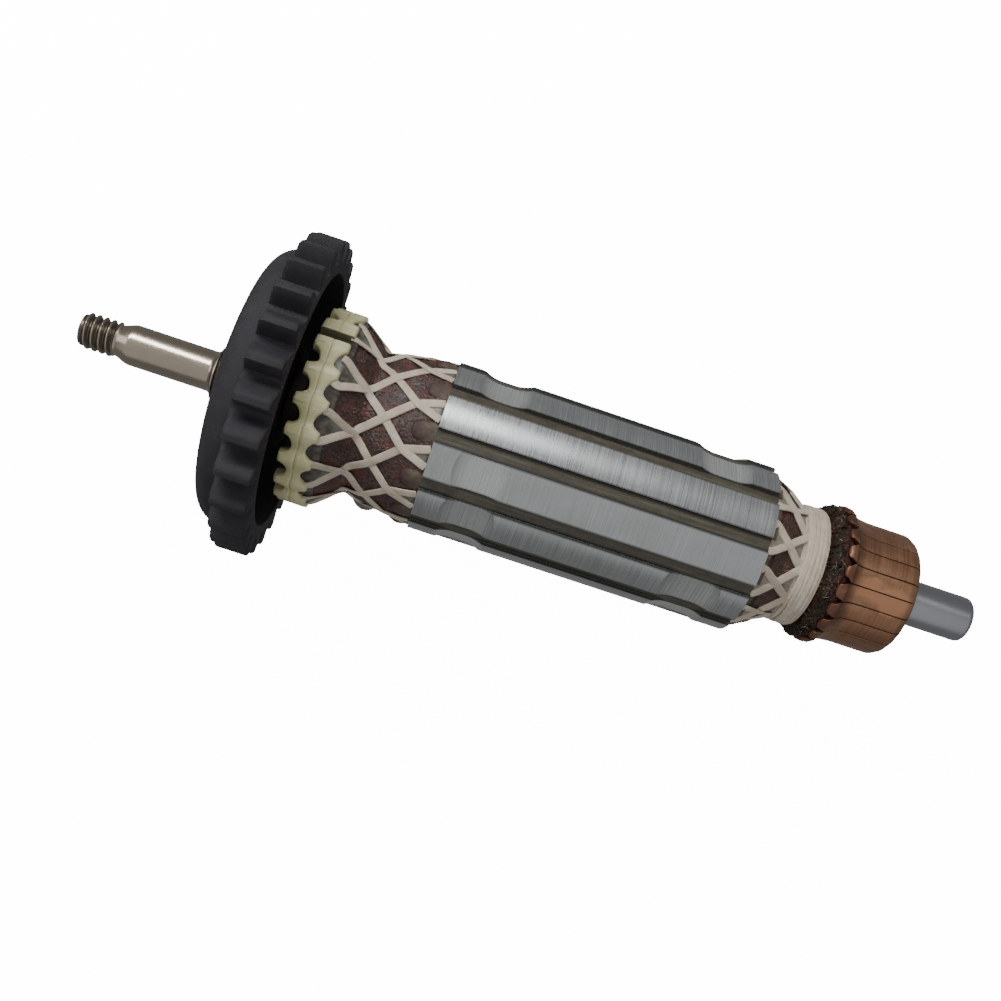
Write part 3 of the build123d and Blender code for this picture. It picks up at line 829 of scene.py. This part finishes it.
class BuildFilm(bpy.types.Operator):
    """Builds the film: the flare at the ring, its tabs, and the tongues that come out of the slots"""

    bl_idname = "armature.build_film"
    bl_label = "Insulating film"

    def execute(self, context):
        turn = full_turn(660)
        wave = np.abs(((turn - FIRST_TOOTH) / SLOT_PITCH + 0.5) % 1.0 - 0.5) * 2
        tip = NET_START + 0.7 + 3.0 * np.clip(1 - wave / 0.5, 0, 1)
        share = np.linspace(0, 1, 14)[:, None]
        place = part_way(RING_END - 1.5, tip, share)
        wrinkle = 0.06 * np.sin(turn * 33 + 3 * np.sin(turn * 7)) * share
        over = np.interp(place, [NET_START - 0.9, NET_START + 0.3], [-0.6, -0.32])
        flare = film_piece("film_flare", [sheet(place, NET_RADIUS(place) + over + wrinkle, turn)], 0.18)
        grey = insulating_film("insulating_film", colour_of("film"))
        # Painted shade: the collar film turns near black towards the ring, under its edge.
        ring_shaded_film = insulating_film(
            "collar_film", colour_of("film"), tip=(0.022, 0.016, 0.010), tip_at=(0.0208, 0.0230))
        dress(flare, ring_shaded_film, "insulating_film", "film_collar")

        front, rear = [], []
        share = np.linspace(0, 1, 10)
        for k in range(SLOTS):
            tooth = FIRST_TOOTH + SLOT_PITCH * k
            front.append(film_patch(
                tooth, part_way(NET_ROWS[2], CORE_START - 0.05, share),
                0.01 + (CORE_SPREAD + 0.02) * share, lambda x, t: NET_RADIUS(x) - 0.27))
            cross = REAR_PHASE + SLOT_PITCH * (k + 0.5)
            for end, wide in ((CORE_END + 0.1, 0.15), (BAND_START + 0.3, 0.24)):
                rear.append(film_patch(
                    cross, part_way(REAR_ROWS[0], end, share), 0.01 + wide * share,
                    lambda x, t: REAR_RADIUS(x) - 0.26))
        share = np.linspace(-1, 1, 15)
        half_length = 3.0
        for k, high in ((3, 2.2), (4, 1.5)):
            tooth = FIRST_TOOTH + SLOT_PITCH * k
            front.append(film_patch(
                tooth, NET_ROWS[1] + half_length * share, 0.03 + 0.19 * (1 - np.abs(share)),
                lambda x, t: NET_RADIUS(x) - 0.3
                + high * (1 - t**2) * (1 - np.abs((x - NET_ROWS[1]) / half_length) ** 2.5)))
        dress(film_piece("film_gussets", front, 0.12), grey, "insulating_film")
        beige = insulating_film("rear_film", (0.21, 0.185, 0.145), 0.5)
        dress(film_piece("rear_gussets", rear, 0.12), beige, "insulating_film")

        chance = np.random.default_rng(12)
        tongues = []
        share = np.linspace(0, 1, 14)
        for k in range(SLOTS):
            middle = FIRST_TOOTH + SLOT_PITCH * (k + 0.5)
            reach_out = 4.1 + chance.uniform(-0.6, 0.6)
            bulge = 0.7 if k in (2, 3, 7, 8) else 0.35
            half = 0.158 * np.sqrt(np.clip(1 - (0.97 * share) ** 9, 0.02, 1)) * (1 - 0.3 * share)
            place = CORE_START + 0.3 - reach_out * share
            tongues.append(film_patch(
                middle + chance.normal(0, 0.012), place, half,
                lambda x, t: np.minimum(NET_RADIUS(x) - 0.22, 13.9) - 0.22 * t**2
                + bulge * (1 - t**2) * np.sin(math.pi * np.clip((CORE_START - x) / reach_out, 0, 1)) ** 0.8))
            place = CORE_END - 0.3 + 1.7 * share
            tongues.append(film_patch(
                middle, place, half, lambda x, t: np.minimum(REAR_RADIUS(x) - 0.30, 13.5) - 0.3 * t**2))
        brown = insulating_film("tongue_film", (0.080, 0.060, 0.042), 0.66, tip=(0.036, 0.018, 0.0135))
        dress(film_piece("film_tongues", tongues, 0.12), brown, "slot_film")
        return {"FINISHED"}


class BuildRearLacing(bpy.types.Operator):
    """Builds the rear net and the turns of cord that bind it"""

    bl_idname = "armature.build_rear_lacing"
    bl_label = "Rear lacing"

    def execute(self, context):
        chance = np.random.default_rng(8)
        places = [CORE_END + 0.05, CORE_END + 0.9, *REAR_ROWS, BAND_START + 1.6]
        offsets = [0.115, 0.125, SLOT_PITCH / 2, SLOT_PITCH, SLOT_PITCH + 0.16]
        grids = net(
            chance, REAR_PHASE, places, offsets, lambda x: REAR_RADIUS(x) - 0.02, REAR_ROWS, 0.15,
            (0.98, 1.1), 50)
        turn = full_turn(240)
        turns_of_cord = (
            (0.30, -0.10, 1.5, 0.12), (0.25, 0.12, 0.75, 0.30), (0.70, 0.28, 0.75, 0.24),
            (1.15, 0.40, 0.7, 0.16), (1.60, 0.44, 0.75, 0.12), (2.10, 0.36, 0.7, 0.10),
            (2.60, 0.44, 0.75, 0.08), (3.15, 0.46, 0.75, 0.07), (3.65, 0.30, 0.65, 0.05))
        for k, (offset, rise, wide, sway) in enumerate(turns_of_cord):
            place = BAND_START + offset + sway * np.sin(turn + 1.9 * k) + 0.4 * sway * np.sin(3 * turn + k)
            radius = BAND_RADIUS + rise + 0.04 * np.sin(2 * turn + 2.3 * k)
            tone = chance.uniform(0.5, 1.0)
            grids.append(carried(place, radius, turn, wide, 0.42, square=0.75, tone=tone))
        piece = mesh_from_grids("rear_cords", grids)
        dress(piece, lacing_cord("rear_cord", colour_of("cord")), "cord", "rear_lacing")
        return {"FINISHED"}


def coil_head(chance, start, end, radius_of, rows, columns=540):
    """Closed shell over a coil head, its surface raised by waves of wire in many directions."""
    turn = full_turn(columns)
    place = np.linspace(start, end, rows)[:, None]
    height = 0.0
    for _ in range(9):
        count = chance.integers(60, 170)
        slant = chance.uniform(-1, 1) * 11.0
        wave = np.sin(count * turn + slant * place + chance.uniform(0, 6.3))
        height += 0.02 * np.sign(wave) * np.abs(wave) ** 0.7
    for _ in range(4):
        height += 0.035 * np.sin(chance.integers(5, 19) * turn + chance.uniform(-2, 2) * place)
    fade = np.clip((place - start) / 0.6, 0, 1) * np.clip((end - place) / 0.4, 0, 1)
    radius = radius_of(place) + height * fade
    low = radius_of(place).min() - 1.6
    radius = np.concatenate([np.full((1, columns + 1), low), radius, np.full((1, columns + 1), low)])
    radius = np.concatenate([radius, radius[:1]])
    return sheet(np.concatenate([place[:1], place, place[-1:], place[:1]]), radius, turn)


class BuildWinding(bpy.types.Operator):
    """Builds the wire of both coil heads and finishes the wound mass under it"""

    bl_idname = "armature.build_winding"
    bl_label = "Winding"

    def execute(self, context):
        chance = np.random.default_rng(21)
        front = coil_head(chance, NET_START + 0.3, CORE_START - 0.1, lambda x: NET_RADIUS(x) - 0.37, 96)
        rear = coil_head(chance, CORE_END + 0.1, BAND_START + 0.8, lambda x: REAR_RADIUS(x) - 0.37, 44)
        piece = mesh_from_grids("coil_heads", [front, rear])
        dress(piece, varnished_coil("wound_wire", colour_of("wire"), 2900.0), "enamelled_copper")
        coat(varnished_coil("enamelled_copper", colour_of("wire")), "winding")
        return {"FINISHED"}


def bundle_radius(place, turn):
    """Lumpy outline of the lead bundle from a few waves of different lengths."""
    return (
        0.16 * np.sin(11 * turn + 1.7 * place)
        + 0.13 * np.sin(23 * turn - 2.9 * place + 1)
        + 0.10 * np.sin(41 * turn + 5.3 * place)
        + 0.07 * np.sin(67 * turn - 8.1 * place + 2)
    )


class BuildLeads(bpy.types.Operator):
    """Builds the bundle of wire ends between the cord band and the commutator"""

    bl_idname = "armature.build_leads"
    bl_label = "Commutator leads"

    def execute(self, context):
        chance = np.random.default_rng(34)
        diameter = sizes().wire_diameter
        end = BARS_START + 2.2
        top = reach("commutator_leads")
        bore, seat = 5.9, 10.25
        mass = lathe(
            fill([(LEADS_START, bore), (LEADS_START, 9.9), (LEADS_START + 0.5, top - 0.8),
                  (LEADS_START + 1.2, top - 0.35), (BARS_START + 0.1, top - 0.4),
                  (BARS_START + 0.6, top - 0.5), (end - 0.4, top - 1.0), (end, top - 1.3), (end, seat),
                  (BODY_START - 0.1, seat), (BODY_START - 0.1, bore), (LEADS_START, bore)], 0.4), 360,
            lambda x, t: bundle_radius(x, t) * (x > LEADS_START + 0.1) * (x < BARS_START + 0.6))
        grids = [mass]
        shape_x = np.array([
            LEADS_START - 0.2, LEADS_START + 0.5, LEADS_START + 1.5, BARS_START + 0.2, BARS_START + 1.2])
        shape_r = np.array([9.6, top - 0.75, top - 0.28, top - 0.8, top - 1.3])
        share = np.linspace(0, 1, 16)
        knots = np.linspace(0, 1, 5)
        place = np.interp(share, knots, shape_x)
        for _ in range(60):
            radius = np.interp(share, knots, shape_r) + chance.normal(0, 0.1)
            turn = chance.uniform(0, 2 * math.pi) + chance.normal(0, 0.12) * share + 0.02 * np.sin(share * 9)
            tone = chance.uniform(0, 0.3)
            grids.append(carried(place, radius, turn, diameter, diameter, 7, 1.0, tone))
        piece = mesh_from_grids("lead_bundle", grids)
        dark, purple = (0.021, 0.0135, 0.0085), (0.060, 0.024, 0.021)
        varnish = varnished_coil("lead_varnish", dark, 3000.0, end=purple, gloss=0.15)
        dress(piece, varnish, "enamelled_copper", "commutator_leads")
        fibres = []
        share = np.linspace(-1, 1, 9)
        for _ in range(48):
            place = chance.uniform(LEADS_START + 0.5, BARS_START + 0.2) + share * chance.uniform(-0.6, 0.6)
            turn = chance.uniform(0, 2 * math.pi) + share * chance.uniform(-0.05, 0.05)
            radius = top - 0.1 + chance.uniform(-0.1, 0.12) - 0.3 * share**2
            fine = 0.09 if len(fibres) % 8 == 0 else 0.045
            tone = chance.uniform(0, 0.7)
            fibres.append(carried(place, radius, turn, fine, fine, 6, 1.0, tone))
        threads = mesh_from_grids("stray_fibres", fibres)
        dress(threads, lacing_cord("stray_fibre", shade(colour_of("cord"), 0.6)), "cord")
        return {"FINISHED"}


BAR_RADIUS = 10.9
SLIT_WIDTH = 0.14


def bar_grid(middle, tone, chance):
    """One commutator bar: a rounded rectangle whose width, top and bottom change along the shaft."""
    pitch = 2 * math.pi / BARS
    root = BARS_START + 2.8
    merge = BARS_START + 2.1
    end_round = 2.3
    tip = BARS_START + chance.uniform(0.1, 0.7)
    place = np.concatenate([
        tip + np.array([0, 0.02, 0.08, 0.18, 0.32, 0.5, 0.75, 1.0, 1.3, 1.55]),
        [merge - 0.1, merge, merge + 0.3, root - 0.02, root, root + 0.5, root + 1.2, root + 3, root + 6],
        BARS_END - end_round * (1 - np.sin(np.linspace(0, math.pi / 2, 9))),
    ])
    tip_round = np.sqrt(np.clip(1 - ((tip + 0.5 - place) / 0.52).clip(0, 1) ** 2, 0.02, 1))
    body_half = pitch / 2 - SLIT_WIDTH / 2 / BAR_RADIUS
    tang_half = pitch * 0.31 * chance.uniform(0.85, 1.15)
    half = np.interp(place, [tip + 0.7, merge], [tang_half, body_half]) * tip_round
    top = np.interp(
        place,
        [tip, tip + 0.1, tip + 0.35, tip + 0.9, tip + 1.6, root - 0.4, root + 0.5, root + 1.6, root + 2.6],
        [11.85, 12.05, 12.28, 12.38, 12.28, 11.75, 11.25, 10.95, 10.88])
    ending = np.clip((place - (BARS_END - end_round)) / end_round, 0, 1)
    top = top - end_round * (1 - np.sqrt(1 - ending**2 * 0.999))
    tang_thickness, buried = 0.9, 8.35
    low = np.where(place < root - 0.01, top - tang_thickness, buried)
    height = np.maximum(top - low, 0.3)
    corner = 0.12
    quarter = np.linspace(0, math.pi / 2, 4)
    angle = np.append(quarter + np.arange(4)[:, None] * math.pi / 2, 0)
    sign_s = np.append(np.repeat([1, -1, -1, 1], 4), 1)
    sign_h = np.append(np.repeat([1, 1, -1, -1], 4), 1)
    round_s = np.minimum(corner / 11, half * 0.45)[:, None]
    round_h = np.minimum(corner, height * 0.45)[:, None]
    across = sign_s * (half[:, None] - round_s) + round_s * np.cos(angle)
    rise = sign_h * (height[:, None] / 2 - round_h) + round_h * np.sin(angle)
    level = low[:, None] + height[:, None] / 2 + rise
    turn = middle + across
    points = about_shaft(place[:, None], level, turn)
    first, last = (points[row].mean(axis=0) + 0 * points[:1] for row in (0, -1))
    points = np.concatenate([first, points, last])
    edge = np.abs(across) / half[:, None]
    # Tone for the finish: painted shade on the bar sides beside the slits and low under the bar, times a
    # random tone for each bar.
    shade_map = np.clip((1.02 - edge) * 18, 0, 1) * np.clip((level - 9.5) * 1.2, 0, 1) * tone
    shade_map = np.concatenate([shade_map[:1], shade_map, shade_map[-1:]])
    place = np.concatenate([place[:1], place, place[-1:]])
    uv = together(place[:, None], angle)
    return points, uv, shade_map


class BuildCommutator(bpy.types.Operator):
    """Builds the copper bars with their tangs and finishes the body that holds them"""

    bl_idname = "armature.build_commutator"
    bl_label = "Commutator"

    def execute(self, context):
        chance = np.random.default_rng(3)
        copper = worn_copper("bar_copper", colour_of("copper"))
        names = zip(numbered("copper_bar", BARS), numbered("commutator_bar", BARS))
        for k, (name, node) in enumerate(names):
            middle = 2 * math.pi * (k + 0.5) / BARS
            piece = mesh_from_grids(name, [bar_grid(middle, chance.uniform(0.8, 1.0), chance)], smooth=50)
            dress(piece, copper, "bar_copper", node)
        coat(matt_moulding("moulding", colour_of("moulding"), 0.45), "commutator_body")
        return {"FINISHED"}


def numbered(name, count):
    return [f"{name}_{k:02d}" for k in range(1, count + 1)]


def coat(finish, *nodes):
    """Puts a finish on CAD nodes that keep their own shape."""
    for name in nodes:
        cover(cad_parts[name], finish)


class FinishCore(bpy.types.Operator):
    """Finishes the core, its wedges and films, and the tubes on the shaft"""

    bl_idname = "armature.finish_core"
    bl_label = "Core"

    def execute(self, context):
        film = colour_of("slot_film")
        coat(ground_core("core_steel", colour_of("core"), shade(film, 0.5)), "core_stack")
        coat(insulating_film("slot_film", film, 0.4, in_slot=True), *numbered("slot_wedge", SLOTS))
        coat(insulating_film("liner_film", shade(film, 0.8), 0.42), *numbered("slot_liner", SLOTS))
        coat(matt_moulding("fibre_board", (0.07, 0.055, 0.035), 0.6), "front_end_plate", "rear_end_plate")
        # Painted shade: the pale sleeve is given a near-black colour where it shows between the fan and the
        # ring.
        coat(matt_moulding("sleeve_plastic", (0.030, 0.026, 0.018), 0.7), "shaft_sleeve")
        coat(turned_steel("bush_steel", (0.40, 0.40, 0.40), 0.35), "commutator_bush")
        return {"FINISHED"}


CAMERA_PLACE = Vector((0.040963, 0.0, 0.188127))
CAMERA_RIGHT = Vector((0.948012, 0.314812, 0.046547))
CAMERA_UP = Vector((-0.312791, 0.948712, -0.045901))


def aim(name, data, place, target):
    """Places an object that looks at a target with its local -Z."""
    thing = linked(name, data)
    thing.location = place
    thing.rotation_euler = (Vector(target) - Vector(place)).to_track_quat("-Z", "Y").to_euler()


class BuildStage(bpy.types.Operator):
    """Sets the camera, the soft lights and the pale floor"""

    bl_idname = "armature.build_stage"
    bl_label = "Stage"

    def execute(self, context):
        data = bpy.data.cameras.new("photo_camera")
        data.sensor_width = 36.0
        data.lens = 39.56
        data.clip_start = 0.01
        camera = linked("photo_camera", data)
        back = CAMERA_RIGHT.cross(CAMERA_UP).normalized()
        turn = Matrix((CAMERA_RIGHT, CAMERA_UP, back)).transposed().to_4x4()
        camera.matrix_world = Matrix.Translation(CAMERA_PLACE) @ turn
        context.scene.camera = camera

        middle = (0.055, 0.0, 0.0)
        for name, place, size, power in (
            ("key_light", (-0.235, 0.42, 0.40), (0.34, 0.12), 3.6),
            ("near_light", (0.03, 0.43, 0.41), (0.08, 0.18), 0.7),
            ("fill_light", (0.02, -0.30, 0.60), (2.0, 1.4), 4.1),
            ("left_light", (-0.5, 0.10, 0.30), (0.3, 0.3), 0.6),
            ("right_light", (0.42, 0.30, 0.42), (0.30, 0.10), 0.15),
        ):
            light = bpy.data.lights.new(name, "AREA")
            light.shape = "RECTANGLE"
            light.size, light.size_y = size
            light.energy = power
            aim(name, light, place, middle)
        world = bpy.data.worlds.new("studio")
        world.use_nodes = True
        background = world.node_tree.nodes["Background"].inputs
        background["Color"].default_value = (1, 1, 1, 1)
        background["Strength"].default_value = 0.28
        context.scene.world = world

        level = CAD_BOX[0][2] / MM - 0.3
        side = np.linspace(-900, 900, 25)
        points = together(side[:, None], side[None, :], level)
        floor = mesh_from_grids("pale_floor", [(points, points[..., :2] / 1800, 0.5)], closed=False)
        paint = Finish("floor_paint", Roughness=0.9, Emission_Strength=14.0)
        paint.put(paint.shader, "Emission Color", (1.0, 1.0, 1.0))
        cloud = paint.noise(3, detail=2)
        paint.colour(paint.blend(cloud, (0.93, 0.93, 0.93), (0.96, 0.96, 0.96)))
        floor.data.materials.append(paint.material)
        floor.visible_diffuse = False
        floor.visible_glossy = False
        return {"FINISHED"}


STEPS = (
    BuildStage, BuildShaft, BuildFan, BuildRing, BuildFilm, BuildFrontLacing, BuildRearLacing,
    BuildWinding, BuildLeads, BuildCommutator, FinishCore,
)


class ArmaturePanel(bpy.types.Panel):
    """Lists the sizes, the colours and the steps"""

    bl_idname = "VIEW3D_PT_armature"
    bl_label = "Motor armature"
    bl_space_type = "VIEW_3D"
    bl_region_type = "UI"
    bl_category = "Armature"

    def draw(self, context):
        column = self.layout.column()
        for group in (context.scene.armature_sizes, context.scene.armature_colours):
            for name in group.__annotations__:
                column.prop(group, name)
        for step in STEPS:
            column.operator(step.bl_idname)


CLASSES = (ArmatureSizes, ArmatureColours) + STEPS + (ArmaturePanel,)


def register():
    for cls in CLASSES:
        bpy.utils.register_class(cls)
    bpy.types.Scene.armature_sizes = PointerProperty(type=ArmatureSizes)
    bpy.types.Scene.armature_colours = PointerProperty(type=ArmatureColours)


def unregister():
    del bpy.types.Scene.armature_colours
    del bpy.types.Scene.armature_sizes
    for cls in reversed(CLASSES):
        bpy.utils.unregister_class(cls)


def main():
    register()
    for step in STEPS:
        group, name = step.bl_idname.split(".")
        getattr(getattr(bpy.ops, group), name)()


if __name__ == "__main__":
    main()
